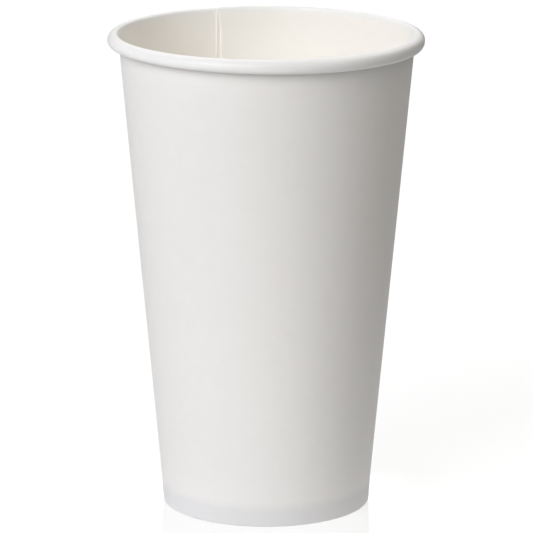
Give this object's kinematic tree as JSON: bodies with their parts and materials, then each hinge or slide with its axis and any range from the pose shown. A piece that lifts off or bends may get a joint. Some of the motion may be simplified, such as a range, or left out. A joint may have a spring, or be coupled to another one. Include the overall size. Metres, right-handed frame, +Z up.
{
  "type": "paper coffee cup",
  "caption": "Single-wall paper cup for hot drinks: a tapered board wall with a lapped side seam, an outward rolled rim, and a recessed bottom disc clamped in the turned-in foot.",
  "frame": {"origin": "centre of the foot, on the surface that the cup stands on", "axes": "+Z up along the cup's axis, towards the mouth; +Y towards the back, where the side seam is, a little to the left; +X to the right"},
  "size_m": [0.09, 0.09, 0.1373],
  "materials": {
    "wall_board": "white bleached cup board, matt and slightly toothy outside, cream and softly shiny inside where it is coated",
    "bottom_board": "white bleached cup board, coated and softly shiny on its upper face, matt below"
  },
  "bodies": {
    "root": {"side_wall": "wall_board", "bottom_disc": "bottom_board"}
  },
  "joints": []
}
